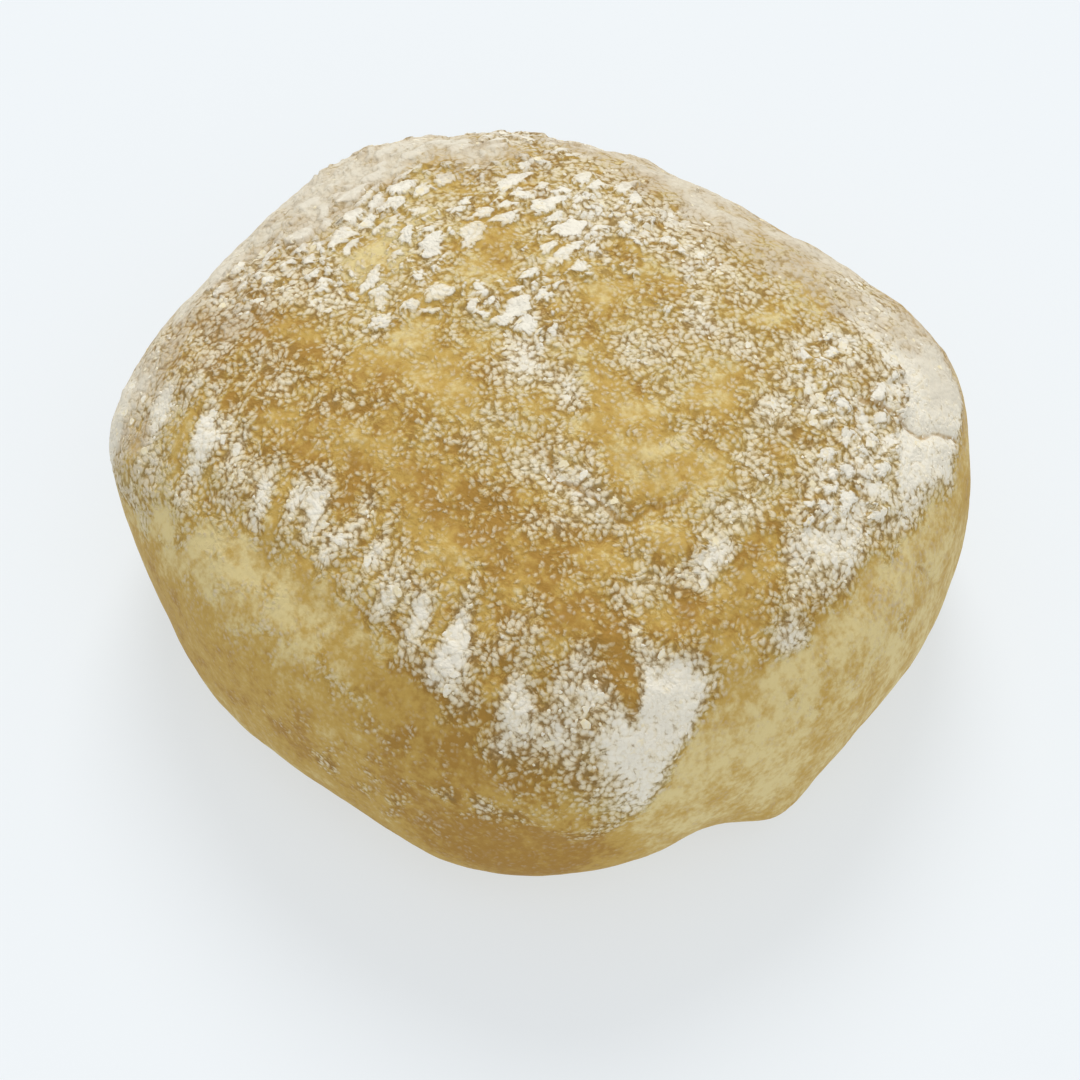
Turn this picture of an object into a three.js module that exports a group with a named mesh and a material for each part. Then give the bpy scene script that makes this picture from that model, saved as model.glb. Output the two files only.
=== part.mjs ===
// A flour-dusted bread roll: a soft pillow of dough, square with round corners in plan, domed on top, tucked under
// at the foot and flat where it was baked. Millimetres, +Z up. The origin is on the table under the middle of the
// roll, +X runs along its longer side, and the corner between the -Y and +X sides is the one that faces a viewer.
import * as THREE from 'three';
import { ImprovedNoise } from 'three/addons/math/ImprovedNoise.js';
import { mergeVertices } from 'three/addons/utils/BufferGeometryUtils.js';

// Driving dimensions
const height = 50; // flat base to crown
const girthHeight = 21; // level at which the roll is widest
const halfLength = 49.5; // reach along X at the girth, before the swellings below
const halfWidth = 47.5; // reach along Y at the girth, before the swellings below
const plumpCentre = new THREE.Vector2(-4.2, 1.6); // the dough is heaped a little off the middle
const planSquareness = 2.8; // 2 gives an oval plan, more gives squarer corners
const crownSquareness = 2.5; // how quickly the shoulder turns over into the top
const tuckSquareness = 4.0; // how tightly the side turns under at the foot
const baseSink = 1.04; // the foot is cut flat by the table at 1 part in 1.04 of its depth

// How far the plan swells (or, below zero, draws in) at each side and corner, by azimuth in degrees
const swellSpread = 26; // degrees over which one swelling dies away
const swellings = [
  { azimuth: 0, reach: 7.4 },
  { azimuth: 45, reach: 5.1 },
  { azimuth: 90, reach: -0.5 },
  { azimuth: 135, reach: -5.0 },
  { azimuth: 180, reach: 0.0 },
  { azimuth: 225, reach: 0.4 },
  { azimuth: 270, reach: 3.8 },
  { azimuth: 315, reach: 3.6 },
];

// Single humps and hollows: where each is, the way it runs, its half length and half width, and how far it
// stands out (or, below zero, dips) along the surface normal
const humps = [
  { name: 'nub of dough at the foot', at: [49.5, -10.5, 6], runs: [0.25, 1, 0], long: 6, wide: 4.6, out: 2.2 },
  { name: 'notch beside the nub', at: [46.5, -20, 8], runs: [0.3, 1, 0], long: 6, wide: 6, out: -1.1 },
  { name: 'dimple on the +X side', at: [52, 6.5, 9.5], runs: [0, 1, 0], long: 8, wide: 8, out: -0.9 },
  { name: 'swell of the -Y foot', at: [21, -45, 8.5], runs: [1, 0, 0], long: 10, wide: 8, out: 0.7 },
  { name: 'undercut of the -Y foot', at: [-31, -43.5, 11.5], runs: [1, -0.5, 0], long: 12, wide: 10, out: -1.1 },
  { name: 'left corner shoulder', at: [-43, -36, 27], runs: [1, -1, 0], long: 10, wide: 10, out: 0.6 },
  { name: 'fullness of the -X shoulder', at: [-47, 8, 36], runs: [0.3, 1, 0], long: 15, wide: 9, out: 1.3 },
  { name: 'hollow of the +Y shoulder', at: [-20, 40, 37], runs: [1, 1, 0], long: 13, wide: 10, out: -0.7 },
  { name: 'right corner shoulder', at: [30, 45, 32], runs: [1, -1, 0], long: 12, wide: 8, out: 0.8 },
  { name: 'dip under the right corner', at: [40.5, 41, 24], runs: [1, -1, 0], long: 5, wide: 7, out: -0.8 },
  { name: 'stretch along the -Y side', at: [-6, -42, 39], runs: [1, -0.1, -0.1], long: 30, wide: 4, out: -0.5 },
  { name: 'stretch along the +X side', at: [47.3, 0, 35.5], runs: [0, 1, 0.15], long: 22, wide: 4, out: -0.5 },
  { name: 'crease across the top', at: [-29, -3, 47], runs: [0.6, -1, 0.1], long: 15, wide: 2.6, out: -0.9 },
  { name: 'split near the middle', at: [20, -13.5, 47.5], runs: [1, -0.15, -0.15], long: 10, wide: 2.4, out: -0.8 },
  { name: 'branch of the split', at: [25.5, -8, 47], runs: [0.35, 1, 0], long: 6, wide: 2.2, out: -0.6 },
  { name: 'crack at the right corner', at: [37.5, 28, 40], runs: [0.5, 1, -0.8], long: 8, wide: 2.2, out: -0.7 },
];

// The skin caked with flour covers the top and ends at a ragged line round the side, by azimuth in degrees
const flourLineHeight = 37; // where there is nothing below to draw it down
const flourLineDrops = [
  { azimuth: 45, spread: 22, drop: 4 },
  { azimuth: 135, spread: 26, drop: 6 },
  { azimuth: 222, spread: 14, drop: 12 },
  { azimuth: 268, spread: 24, drop: -5 },
  { azimuth: 318, spread: 13, drop: 16 },
];
const flourLineFade = 2.5; // the skin thins out over this height
const skinThickness = 0.45; // how far the caked skin stands proud of the stretched side, half of it sunk below

// Unevenness of the surface
const swellSize = 24; // one soft rise and fall of the dough, across
const swellDepth = 0.55; // and how deep that is
const cragSize = 5.2; // one crag of the caked skin, across
const cragDepth = 0.75; // and how deep it is
const flankCragDepth = 0.2; // what shows of the crags on the stretched side

// How finely the surface is cut into facets
const facetsAcross = 36; // along X and along Y, on the top and on the base
const facetsUp = 16; // up each side

const bump = (distance, spread) => Math.exp(-((distance / spread) ** 2));
const smoothStep = THREE.MathUtils.smoothstep;

/** Shortest turn between two azimuths, in degrees. */
function turnBetween(azimuth, other) {
  return ((azimuth - other + 540) % 360) - 180;
}

/** How far the outline reaches from the plump centre towards an azimuth given in degrees. */
function planReach(azimuth) {
  const angle = THREE.MathUtils.degToRad(azimuth);
  const along = Math.abs(Math.cos(angle) / halfLength) ** planSquareness;
  const across = Math.abs(Math.sin(angle) / halfWidth) ** planSquareness;
  const plain = (along + across) ** (-1 / planSquareness);
  return swellings.reduce(
    (reach, swelling) => reach + swelling.reach * bump(turnBetween(azimuth, swelling.azimuth), swellSpread),
    plain,
  );
}

/** The smooth pillow in one direction from its heart: the point there and the outward normal. */
function pillow(direction) {
  const level = Math.hypot(direction.x, direction.y);
  const azimuth = THREE.MathUtils.radToDeg(Math.atan2(direction.y, direction.x));
  const reach = planReach(azimuth);
  const isTop = direction.z > 0;
  const rise = isTop ? height - girthHeight : girthHeight * baseSink;
  const squareness = isTop ? crownSquareness : tuckSquareness;
  const stretch = (level ** squareness + Math.abs(direction.z) ** squareness) ** (-1 / squareness);
  const spoke = new THREE.Vector2(direction.x, direction.y).divideScalar(Math.max(level, 1e-9));
  const point = new THREE.Vector3(
    plumpCentre.x + spoke.x * reach * level * stretch,
    plumpCentre.y + spoke.y * reach * level * stretch,
    girthHeight + rise * direction.z * stretch,
  );
  const outwards = (level * stretch) ** (squareness - 1) / reach;
  const upwards = (Math.sign(direction.z) * (Math.abs(direction.z) * stretch) ** (squareness - 1)) / rise;
  const normal = new THREE.Vector3(spoke.x * outwards, spoke.y * outwards, upwards).normalize();
  return { point, normal };
}

/** How far the named humps and hollows together move a point of the pillow along its normal. */
function humpHeight(point) {
  let sum = 0;
  for (const hump of humps) {
    const offset = point.clone().sub(new THREE.Vector3(...hump.at));
    const along = offset.dot(new THREE.Vector3(...hump.runs).normalize());
    const aside = Math.sqrt(Math.max(offset.lengthSq() - along ** 2, 0));
    sum += hump.out * bump(along, hump.long) * bump(aside, hump.wide);
  }
  return sum;
}

/** Share of caked flour skin at a point, from 0 on the stretched side to 1 on the top. */
function skinCover(point) {
  const azimuth = THREE.MathUtils.radToDeg(Math.atan2(point.y, point.x));
  const line = flourLineDrops.reduce(
    (level, drop) => level - drop.drop * bump(turnBetween(azimuth, drop.azimuth), drop.spread),
    flourLineHeight,
  );
  return smoothStep(point.z, line - flourLineFade, line + flourLineFade);
}

const noise = new ImprovedNoise();
const noiseAt = (point, size) => noise.noise(point.x / size, point.y / size, point.z / size);

/** Soft unevenness of the dough, the skin's own thickness and the crags in it. */
function surfaceRelief(point) {
  const cover = skinCover(point);
  const dough = swellDepth * noiseAt(point, swellSize);
  const crags = (flankCragDepth + (cragDepth - flankCragDepth) * cover) * noiseAt(point, cragSize);
  return dough + crags + skinThickness * (cover - 0.5);
}

/** Turns a box cut into facets into the roll: each corner of a facet moves out to the surface of the dough. */
function makeRoll() {
  const geometry = new THREE.BoxGeometry(2, 2, 2, facetsAcross, facetsAcross, facetsUp);
  geometry.deleteAttribute('uv');
  geometry.deleteAttribute('normal');
  const roll = mergeVertices(geometry);
  roll.clearGroups();
  const corners = roll.attributes.position;
  const corner = new THREE.Vector3();
  const evenly = (side) => Math.tan((side * Math.PI) / 4);
  for (let i = 0; i < corners.count; i++) {
    corner.fromBufferAttribute(corners, i);
    const direction = new THREE.Vector3(evenly(corner.x), evenly(corner.y), evenly(corner.z)).normalize();
    const { point, normal } = pillow(direction);
    point.addScaledVector(normal, humpHeight(point) + surfaceRelief(point));
    corners.setXYZ(i, point.x, point.y, Math.max(point.z, 0));
  }
  roll.computeBoundingBox();
  const middle = roll.boundingBox.getCenter(new THREE.Vector3());
  roll.translate(-middle.x, -middle.y, -roll.boundingBox.min.z);
  roll.computeVertexNormals();
  return roll;
}

const crust = new THREE.MeshStandardMaterial({ color: '#c9ac72', roughness: 0.85, metalness: 0 });
const roll = new THREE.Mesh(makeRoll(), crust);
roll.name = 'roll';

const group = new THREE.Group();
group.add(roll);
export default group;
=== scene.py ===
"""A flour-dusted bread roll on a pale floor: its crust, the caked flour on it and the studio round it."""

import logging
import math
from dataclasses import dataclass, field
from enum import Enum
from itertools import product

import bmesh
import bpy
import numpy as np
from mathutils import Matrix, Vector, noise

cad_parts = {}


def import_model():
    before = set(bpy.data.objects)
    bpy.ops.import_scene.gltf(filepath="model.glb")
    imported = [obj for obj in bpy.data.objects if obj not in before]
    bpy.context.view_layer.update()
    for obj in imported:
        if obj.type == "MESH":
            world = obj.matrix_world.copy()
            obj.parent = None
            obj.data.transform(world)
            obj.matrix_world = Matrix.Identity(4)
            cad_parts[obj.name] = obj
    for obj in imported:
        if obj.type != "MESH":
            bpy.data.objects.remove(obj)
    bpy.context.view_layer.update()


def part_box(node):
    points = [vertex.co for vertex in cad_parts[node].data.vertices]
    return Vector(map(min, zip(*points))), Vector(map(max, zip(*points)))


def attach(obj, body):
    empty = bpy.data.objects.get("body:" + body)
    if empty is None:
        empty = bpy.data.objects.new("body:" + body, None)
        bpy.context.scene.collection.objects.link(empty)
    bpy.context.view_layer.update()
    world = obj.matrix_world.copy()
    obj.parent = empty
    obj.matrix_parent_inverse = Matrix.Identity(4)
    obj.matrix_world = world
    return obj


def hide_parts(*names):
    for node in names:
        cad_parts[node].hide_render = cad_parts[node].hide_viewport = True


MM = 0.001
ROOT_BODY = "root"
ROLL_NODE = "roll"
DRIFT_SEED = 7  # Blender's vector noise differs from run to run unless it is seeded

Place3 = tuple[float, float, float]

log = logging.getLogger("bread_roll")


def bump(distance: np.ndarray, spread: float) -> np.ndarray:
    """Gives a bell curve: 1 where distance is 0, dying away over spread."""
    return np.exp(-((distance / spread) ** 2))


def smooth_step(value: np.ndarray, low: float, high: float) -> np.ndarray:
    """Gives 0 below low, 1 above high and a soft rise between them."""
    share = np.clip((value - low) / (high - low), 0.0, 1.0)
    return share * share * (3.0 - 2.0 * share)


def turn_between(azimuth: np.ndarray, other: float) -> np.ndarray:
    """Gives the shortest turn between azimuths, in degrees."""
    return (azimuth - other + 540.0) % 360.0 - 180.0


def perlin(points: np.ndarray, size: float) -> np.ndarray:
    """Gives gradient noise of one feature size.

    Args:
        points: Places in millimetres, one row each.
        size: Width of one rise and fall, in millimetres.

    Returns:
        One value for each place, from about -1 to 1.
    """
    return np.array([noise.noise(Vector(p)) for p in points / size])


def drift(points: np.ndarray, size: float) -> np.ndarray:
    """Gives a smooth sideways drift for points, from about -1 to 1 each way."""
    return np.array([noise.noise_vector(Vector(p)) for p in points / size])


def strip_weight(points: np.ndarray, at: Place3, runs: Place3, long: float, wide: float) -> np.ndarray:
    """Weighs points by how near they are to the middle of a soft strip.

    Args:
        points: Places in millimetres.
        at: Middle of the strip.
        runs: The way it runs.
        long: Half its length.
        wide: Half its width.

    Returns:
        1 in the middle, dying away to 0.
    """
    way = np.array(runs, float)
    way /= np.linalg.norm(way)
    offset = points - np.array(at, float)
    along = offset @ way
    aside = np.sqrt(np.maximum((offset**2).sum(axis=1) - along**2, 0.0))
    return bump(along, long) * bump(aside, wide)


# The form of the dough


@dataclass(frozen=True)
class Swelling:
    """How far the plan swells, or below zero draws in, at an azimuth in degrees."""

    azimuth: float
    reach: float


@dataclass(frozen=True)
class Hump:
    """A hump, or below zero a hollow, along the surface normal, in millimetres."""

    name: str
    at: Place3
    runs: Place3
    long: float
    wide: float
    out: float


@dataclass(frozen=True)
class LineDrop:
    """How far the edge of the floury skin drops at an azimuth in degrees."""

    azimuth: float
    spread: float
    drop: float


SWELLINGS = (
    Swelling(0, 7.4),
    Swelling(45, 5.1),
    Swelling(90, -0.5),
    Swelling(135, -5.0),
    Swelling(180, 0.0),
    Swelling(225, 0.4),
    Swelling(270, 3.8),
    Swelling(315, 3.6),
)

HUMPS = (
    Hump("nub of dough at the foot", (49.5, -10.5, 6), (0.25, 1, 0), 6, 4.6, 2.2),
    Hump("notch beside the nub", (46.5, -20, 8), (0.3, 1, 0), 6, 6, -1.1),
    Hump("dimple on the +X side", (52, 6.5, 9.5), (0, 1, 0), 8, 8, -0.9),
    Hump("swell of the -Y foot", (21, -45, 8.5), (1, 0, 0), 10, 8, 0.7),
    Hump("undercut of the -Y foot", (-31, -43.5, 11.5), (1, -0.5, 0), 12, 10, -1.1),
    Hump("left corner shoulder", (-43, -36, 27), (1, -1, 0), 10, 10, 0.6),
    Hump("fullness of the -X shoulder", (-47, 8, 36), (0.3, 1, 0), 15, 9, 1.3),
    Hump("hollow of the +Y shoulder", (-20, 40, 37), (1, 1, 0), 13, 10, -0.7),
    Hump("right corner shoulder", (30, 45, 32), (1, -1, 0), 12, 8, 0.8),
    Hump("dip under the right corner", (40.5, 41, 24), (1, -1, 0), 5, 7, -0.8),
    Hump("stretch along the -Y side", (-6, -42, 39), (1, -0.1, -0.1), 30, 4, -0.5),
    Hump("stretch along the +X side", (47.3, 0, 35.5), (0, 1, 0.15), 22, 4, -0.5),
    Hump("crease across the top", (-29, -3, 47), (0.6, -1, 0.1), 15, 2.6, -0.9),
    Hump("split near the middle", (20, -13.5, 47.5), (1, -0.15, -0.15), 10, 2.4, -0.8),
    Hump("branch of the split", (25.5, -8, 47), (0.35, 1, 0), 6, 2.2, -0.6),
    Hump("crack at the right corner", (37.5, 28, 40), (0.5, 1, -0.8), 8, 2.2, -0.7),
)

LINE_DROPS = (
    LineDrop(45, 22, 4),
    LineDrop(135, 26, 6),
    LineDrop(222, 14, 12),
    LineDrop(268, 24, -5),
    LineDrop(318, 13, 16),
)


@dataclass(frozen=True)
class Dough:
    """The smooth pillow of dough, in millimetres, as it stands on the table."""

    height: float = 50.0
    girth_height: float = 21.0
    half_length: float = 49.5
    half_width: float = 47.5
    plump_centre: tuple[float, float] = (-4.2, 1.6)
    plan_squareness: float = 2.8
    crown_squareness: float = 2.5
    tuck_squareness: float = 4.0
    base_sink: float = 1.04
    swell_spread: float = 26.0
    flour_line: float = 37.0
    flour_line_fade: float = 2.5

    def reach(self, azimuth: np.ndarray) -> np.ndarray:
        """Gives how far the outline reaches from the plump centre.

        Args:
            azimuth: Directions seen from above, in degrees.

        Returns:
            The reach in each direction, in millimetres.
        """
        angle = np.radians(azimuth)
        along = np.abs(np.cos(angle) / self.half_length) ** self.plan_squareness
        across = np.abs(np.sin(angle) / self.half_width) ** self.plan_squareness
        reach = (along + across) ** (-1.0 / self.plan_squareness)
        for swelling in SWELLINGS:
            turn = turn_between(azimuth, swelling.azimuth)
            reach = reach + swelling.reach * bump(turn, self.swell_spread)
        return reach

    def surface(self, directions: np.ndarray) -> tuple[np.ndarray, np.ndarray]:
        """Finds the pillow's surface in directions from its heart.

        Args:
            directions: One direction in each row, of any length.

        Returns:
            The points there and the outward unit normals.
        """
        unit = directions / np.linalg.norm(directions, axis=1, keepdims=True)
        level = np.maximum(np.hypot(unit[:, 0], unit[:, 1]), 1e-9)
        steep = np.abs(unit[:, 2])
        top = unit[:, 2] > 0
        reach = self.reach(np.degrees(np.arctan2(unit[:, 1], unit[:, 0])))
        rise = np.where(top, self.height - self.girth_height, self.girth_height * self.base_sink)
        square = np.where(top, self.crown_squareness, self.tuck_squareness)
        stretch = (level**square + steep**square) ** (-1.0 / square)
        spoke = unit[:, :2] / level[:, None]
        flat = spoke * (reach * level * stretch)[:, None] + np.array(self.plump_centre)
        points = np.column_stack([flat, self.girth_height + rise * unit[:, 2] * stretch])
        outwards = (level * stretch) ** (square - 1.0) / reach
        upwards = np.sign(unit[:, 2]) * (steep * stretch) ** (square - 1.0) / rise
        normals = np.column_stack([spoke * outwards[:, None], upwards])
        return points, normals / np.linalg.norm(normals, axis=1, keepdims=True)

    def humps(self, points: np.ndarray) -> np.ndarray:
        """Gives how far the named humps and hollows move points along their normals."""
        total = np.zeros(len(points))
        for hump in HUMPS:
            total += hump.out * strip_weight(points, hump.at, hump.runs, hump.long, hump.wide)
        return total

    def skin_cover(self, points: np.ndarray, ragged: np.ndarray | float = 0.0) -> np.ndarray:
        """Gives the share of floury skin, 0 on the stretched side and 1 on the top.

        Args:
            points: Places in millimetres.
            ragged: How far the edge is moved up at each place.

        Returns:
            The share at each place.
        """
        azimuth = np.degrees(np.arctan2(points[:, 1], points[:, 0]))
        line = np.full(len(points), self.flour_line)
        for drop in LINE_DROPS:
            line -= drop.drop * bump(turn_between(azimuth, drop.azimuth), drop.spread)
        above = points[:, 2] - line - ragged
        return smooth_step(above, -self.flour_line_fade, self.flour_line_fade)


# Where the flour lies


@dataclass(frozen=True)
class Patch:
    """A patch of more, or below zero less, flour, seen from above in millimetres."""

    x: float
    y: float
    long: float
    wide: float
    turn: float
    more: float

    def weight(self, points: np.ndarray) -> np.ndarray:
        """Gives what the patch adds.

        Args:
            points: Places in millimetres.

        Returns:
            More, or below zero less, flour at each place.
        """
        angle = math.radians(self.turn)
        dx = points[:, 0] - self.x
        dy = points[:, 1] - self.y
        along = dx * math.cos(angle) + dy * math.sin(angle)
        aside = dy * math.cos(angle) - dx * math.sin(angle)
        return self.more * np.exp(-((along / self.long) ** 2) - (aside / self.wide) ** 2)


@dataclass(frozen=True)
class Strip:
    """A soft strip on the surface, in space, where there is more or less of something."""

    at: Place3
    runs: Place3
    long: float
    wide: float
    more: float

    def weight(self, points: np.ndarray) -> np.ndarray:
        """Gives what the strip adds at each point."""
        return self.more * strip_weight(points, self.at, self.runs, self.long, self.wide)


@dataclass(frozen=True)
class Ripple:
    """A soft rise and fall of something, of one feature size in millimetres."""

    size: float
    more: float
    shift: float = 0.0

    def weight(self, points: np.ndarray) -> np.ndarray:
        """Gives what the ripple adds at each point."""
        return self.more * perlin(points + self.shift, self.size)


def gather(points: np.ndarray, parts: tuple[Patch | Strip | Ripple, ...], usual: float = 0.0) -> np.ndarray:
    """Adds up what patches, strips and ripples give.

    Args:
        points: Places in millimetres.
        parts: What there is more or less of, part by part.
        usual: What there is without them.

    Returns:
        The total at each place.
    """
    total = np.full(len(points), usual)
    for part in parts:
        total += part.weight(points)
    return total


@dataclass(frozen=True)
class Crack:
    """A thin crack in the skin that runs through points near the surface, in millimetres."""

    through: tuple[Place3, ...]
    deep: float
    wander: float = 0.8
    wander_size: float = 3.0

    def distance(self, points: np.ndarray) -> np.ndarray:
        """Measures how far places are from the crack.

        Args:
            points: Places on the surface, on which the crack is drawn too.

        Returns:
            The distance of each place, in millimetres.
        """
        marks = [points[np.argmin(((points - mark) ** 2).sum(axis=1))] for mark in self.through]
        bent = points + self.wander * drift(points, self.wander_size)
        nearest = np.full(len(points), np.inf)
        for start, end in zip(marks, marks[1:]):
            way = end - start
            share = np.clip((bent - start) @ way / (way @ way), 0.0, 1.0)
            nearest = np.minimum(nearest, np.linalg.norm(bent - start - share[:, None] * way, axis=1))
        return nearest


FLOUR_PATCHES = (
    # The -X rim and the corner behind it, white all over
    Patch(-44, 4, 22, 10, 90, 0.42),
    Patch(-43, -35, 6, 5, -25, 0.08),
    Patch(-32, 31, 14, 8, 45, 0.48),
    Patch(-35, 5, 9, 4, 80, 0.15),
    Patch(-41, -14, 5, 4.4, 0, 0.38),
    Patch(-22, -25, 3, 3, 0, 0.18),
    # Patches of the upper left
    Patch(-11, 23.5, 8, 5, 10, 0.56),
    Patch(-9, 19, 4, 3, -30, 0.20),
    Patch(1, 26, 6, 3, -10, 0.34),
    Patch(7, 22, 3, 2.5, 0, 0.04),
    Patch(-4, 2, 3, 3.8, 0, 0.52),
    Patch(-10, 1.6, 3, 3, 0, 0.36),
    Patch(-7.5, 7.5, 3, 3, 0, 0.34),
    Patch(-20.5, 17, 3, 4, 0, 0.24),
    Patch(-21, 26, 4, 3, 0, 0.20),
    Patch(-34, 6, 3, 4, 0, 0.20),
    Patch(5, 15, 3, 2.4, 0, 0.18),
    Patch(-7, 6, 3, 5, 0, 0.20),
    Patch(-12, 11, 3, 3, 0, 0.24),
    Patch(-13, 0, 3, 2.4, 0, 0.32),
    Patch(-13, 19, 4, 3, 0, 0.26),
    Patch(-26, 5, 4.4, 4, 0, 0.24),
    Patch(-23.5, -6, 3.4, 4.8, 0, 0.34),
    Patch(-18, -4, 3, 3, 0, 0.16),
    Patch(-31, -6, 4, 4, 0, 0.28),
    Patch(-26, 18, 4.4, 5.4, 0, 0.36),
    Patch(-28, -1, 11, 1.7, -57, -0.34),
    Patch(-19, -9, 3, 2.4, 0, 0.14),
    # The rear rim
    Patch(-8, 38, 28, 6, 4, 0.02),
    Patch(24, 39, 16, 7, -8, 0.22),
    Patch(-3, 31, 6, 4, 0, 0.26),
    # Patches of the middle and the right
    Patch(13, 9, 3, 4, 20, 0.14),
    Patch(13, -6.5, 2.4, 2.0, 0, 0.20),
    Patch(-20, 0.5, 2.6, 2.6, 0, 0.20),
    Patch(-38.5, 1, 5, 6, 0, 0.26),
    Patch(-14, -31.5, 2, 1.8, 0, 0.24),
    Patch(10.5, -13.5, 4, 2.4, 0, 0.34),
    Patch(17, -11.5, 7, 2.4, -5, 0.32),
    Patch(31, -14.4, 3, 2.0, 0, 0.26),
    Patch(0, -2, 4, 2.4, 0, 0.22),
    Patch(8, 7, 3, 3, 0, 0.04),
    Patch(6, -1.5, 3, 2, 0, 0.14),
    Patch(25, 28.5, 4, 5, 0, 0.34),
    Patch(27, 18, 5, 5, 60, 0.36),
    Patch(29, 5, 2.2, 3, 0, 0.20),
    Patch(34.3, -7, 2.4, 4.6, 5, 0.66),
    Patch(32, 2, 2.4, 5, -10, 0.12),
    Patch(38, 32, 7, 6.5, -40, 1.1),
    Patch(30.5, 27, 2.6, 2.6, 0, -0.20),
    # The +X shoulder and the corner in front
    Patch(39, 22, 17, 6.5, 95, 0.48),
    Patch(42, 5, 8, 4, 90, 0.18),
    Patch(38.5, 9, 5, 3.4, 90, 0.32),
    Patch(41.4, -21.5, 7, 3.6, 80, 0.66),
    Patch(41, -29, 6, 4.0, 80, 0.56),
    Patch(40.2, -19, 2.6, 2.6, 0, 0.26),
    Patch(33.5, -31, 4, 2.6, 30, 0.22),
    Patch(46, -7, 6, 2, 80, 0.24),
    # The floury band along the -Y shoulder, and its streaks
    Patch(-30, -35, 18, 5.2, -6, 0.13),
    Patch(7, -36, 28, 5.2, 0, 0.15),
    Patch(-43, -32, 9, 7, -25, 0.18),
    Patch(-26, -34.4, 1.6, 3.4, 12, 0.44),
    Patch(-22.5, -25, 3, 2.6, 0, 0.18),
    Patch(-20.5, -34.5, 1.8, 4.0, 20, 0.36),
    Patch(-15.2, -34, 1.7, 3.6, 22, 0.52),
    Patch(-11.5, -37, 2.4, 3, 0, -0.20),
    Patch(-10, -33.2, 1.9, 4.0, 14, 0.36),
    Patch(-6.4, -34, 1.3, 3.6, 14, 0.34),
    Patch(-1.2, -35.6, 1.8, 3.8, 4, 0.38),
    Patch(5.5, -34, 2.0, 4.2, 8, 0.28),
    Patch(9, -37.5, 2.2, 3.2, 10, 0.24),
    Patch(18, -37.4, 2.6, 3.8, 12, 0.40),
    Patch(12.5, -31, 3.6, 2.6, 0, -0.22),
    Patch(-3, -29.0, 4, 2.0, 0, -0.14),
    Patch(-29, -28.0, 4, 2.4, 0, -0.18),
    Patch(21, -38, 2.6, 3.0, 0, 0.22),
    Patch(24.5, -36, 1.4, 2.6, 20, -0.16),
    Patch(25.5, -32, 2.0, 2.4, 0, 0.18),
    Patch(22, -35, 2.4, 2.4, 0, 0.18),
    Patch(30.5, -36, 3.0, 3.0, 0, 0.12),
    Patch(34.5, -34.5, 2.4, 3.4, 20, 0.28),
    # Bare crust
    Patch(-1, 13, 4, 4, 0, -0.34),
    Patch(1, 20, 4, 2.4, 0, -0.24),
    Patch(-15.5, 7, 2.4, 6, 0, -0.34),
    Patch(-11.6, -10.6, 7, 4.2, 0, -0.58),
    Patch(-18, -11, 3, 2.4, 0, 0.26),
    Patch(12, 17, 4, 3, 0, 0.22),
    Patch(-5, 15.5, 3, 4.4, 0, 0.30),
    Patch(-3.4, -13.4, 5, 4.4, 0, -0.32),
    Patch(5, -7.6, 4, 3, -20, -0.44),
    Patch(-28, -17, 9, 3.0, 0, -0.26),
    Patch(-28, -11.5, 2.6, 2.6, 0, 0.26),
    Patch(-8, -26, 15, 4.8, 0, -0.38),
    Patch(10, -25, 13, 5.4, 0, -0.34),
    Patch(16, -21, 3, 3, 0, 0.06),
    Patch(26, -24, 8, 2.6, -8, -0.28),
    Patch(35.4, -24.6, 4.6, 1.0, -31, -1.2),
    Patch(32.2, -27.8, 5, 1.4, -31, 0.12),
    Patch(36.2, -21.6, 4, 1.4, -31, 0.30),
    Patch(28.5, -32, 2.4, 2, -10, -0.24),
    Patch(-28, -23.5, 4, 2.4, 0, 0.10),
    Patch(-18.5, -34, 1.3, 4.2, 18, -0.16),
    Patch(1.8, -35, 1.4, 4.0, 6, -0.30),
    Patch(14.6, -0.2, 6, 4.8, 0, -0.52),
    Patch(25.5, 0.5, 3, 3, 0, -0.26),
    Patch(20.5, -4.8, 5, 3.6, 0, -0.42),
    Patch(23, 2, 4, 4, 0, -0.28),
    Patch(19, 11, 4.0, 5, 0, -0.34),
    Patch(24, -16, 5, 3, 0, -0.22),
    Patch(28.5, -9.5, 4.4, 2.8, 0, -0.34),
    Patch(31, 12, 2.2, 5, 30, -0.18),
    Patch(37.5, -3, 2.2, 7, 5, -0.66),
    Patch(42.8, -12.5, 4.2, 4.6, 20, -0.66),
    Patch(36.5, -15, 2.4, 4.4, 0, -0.40),
    Patch(23, 32.5, 3.4, 1.4, 25, -0.24),
    Patch(30, 28, 2.0, 3.0, 0, -0.22),
    Patch(18, 26, 3, 3, 0, -0.14),
    Patch(38, -41, 10, 4.5, 35, -0.60),
    Patch(46, -27, 2.6, 5, 0, -0.30),
)

# Fine powder, smoother than the grains, on the slopes that face away
VEIL_STRIPS = (
    Strip((-51, 12, 36), (0, 1, 0), 28, 11, 0.90),
    Strip((-50, -14, 35), (0, 1, 0), 12, 8, 0.65),
    Strip((-39, 17, 42), (0.3, 1, 0), 15, 8, 0.50),
    Strip((-40, -33, 35), (1, -0.8, 0), 12, 8, 0.55),
    Strip((-36, -19, 44), (0, 1, 0), 9, 7, 0.25),
    Strip((-10, 46, 37), (1, 0, 0), 44, 11, 0.66),
    Strip((-16, 36, 43), (1, 0, 0), 26, 7, 0.48),
    Strip((14, 38, 43), (1, -0.1, 0), 16, 6, 0.30),
    Strip((35, 41, 37), (0.5, -1, 0.2), 12, 7, 0.66),
    Strip((-39, 2, 45), (0, 1, 0), 9, 6, 0.42),
    Strip((-32, 25, 44), (1, 1, 0), 10, 6, 0.36),
    Strip((50, 16, 33), (0, 1, 0), 10, 4, 0.30),
)

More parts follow.
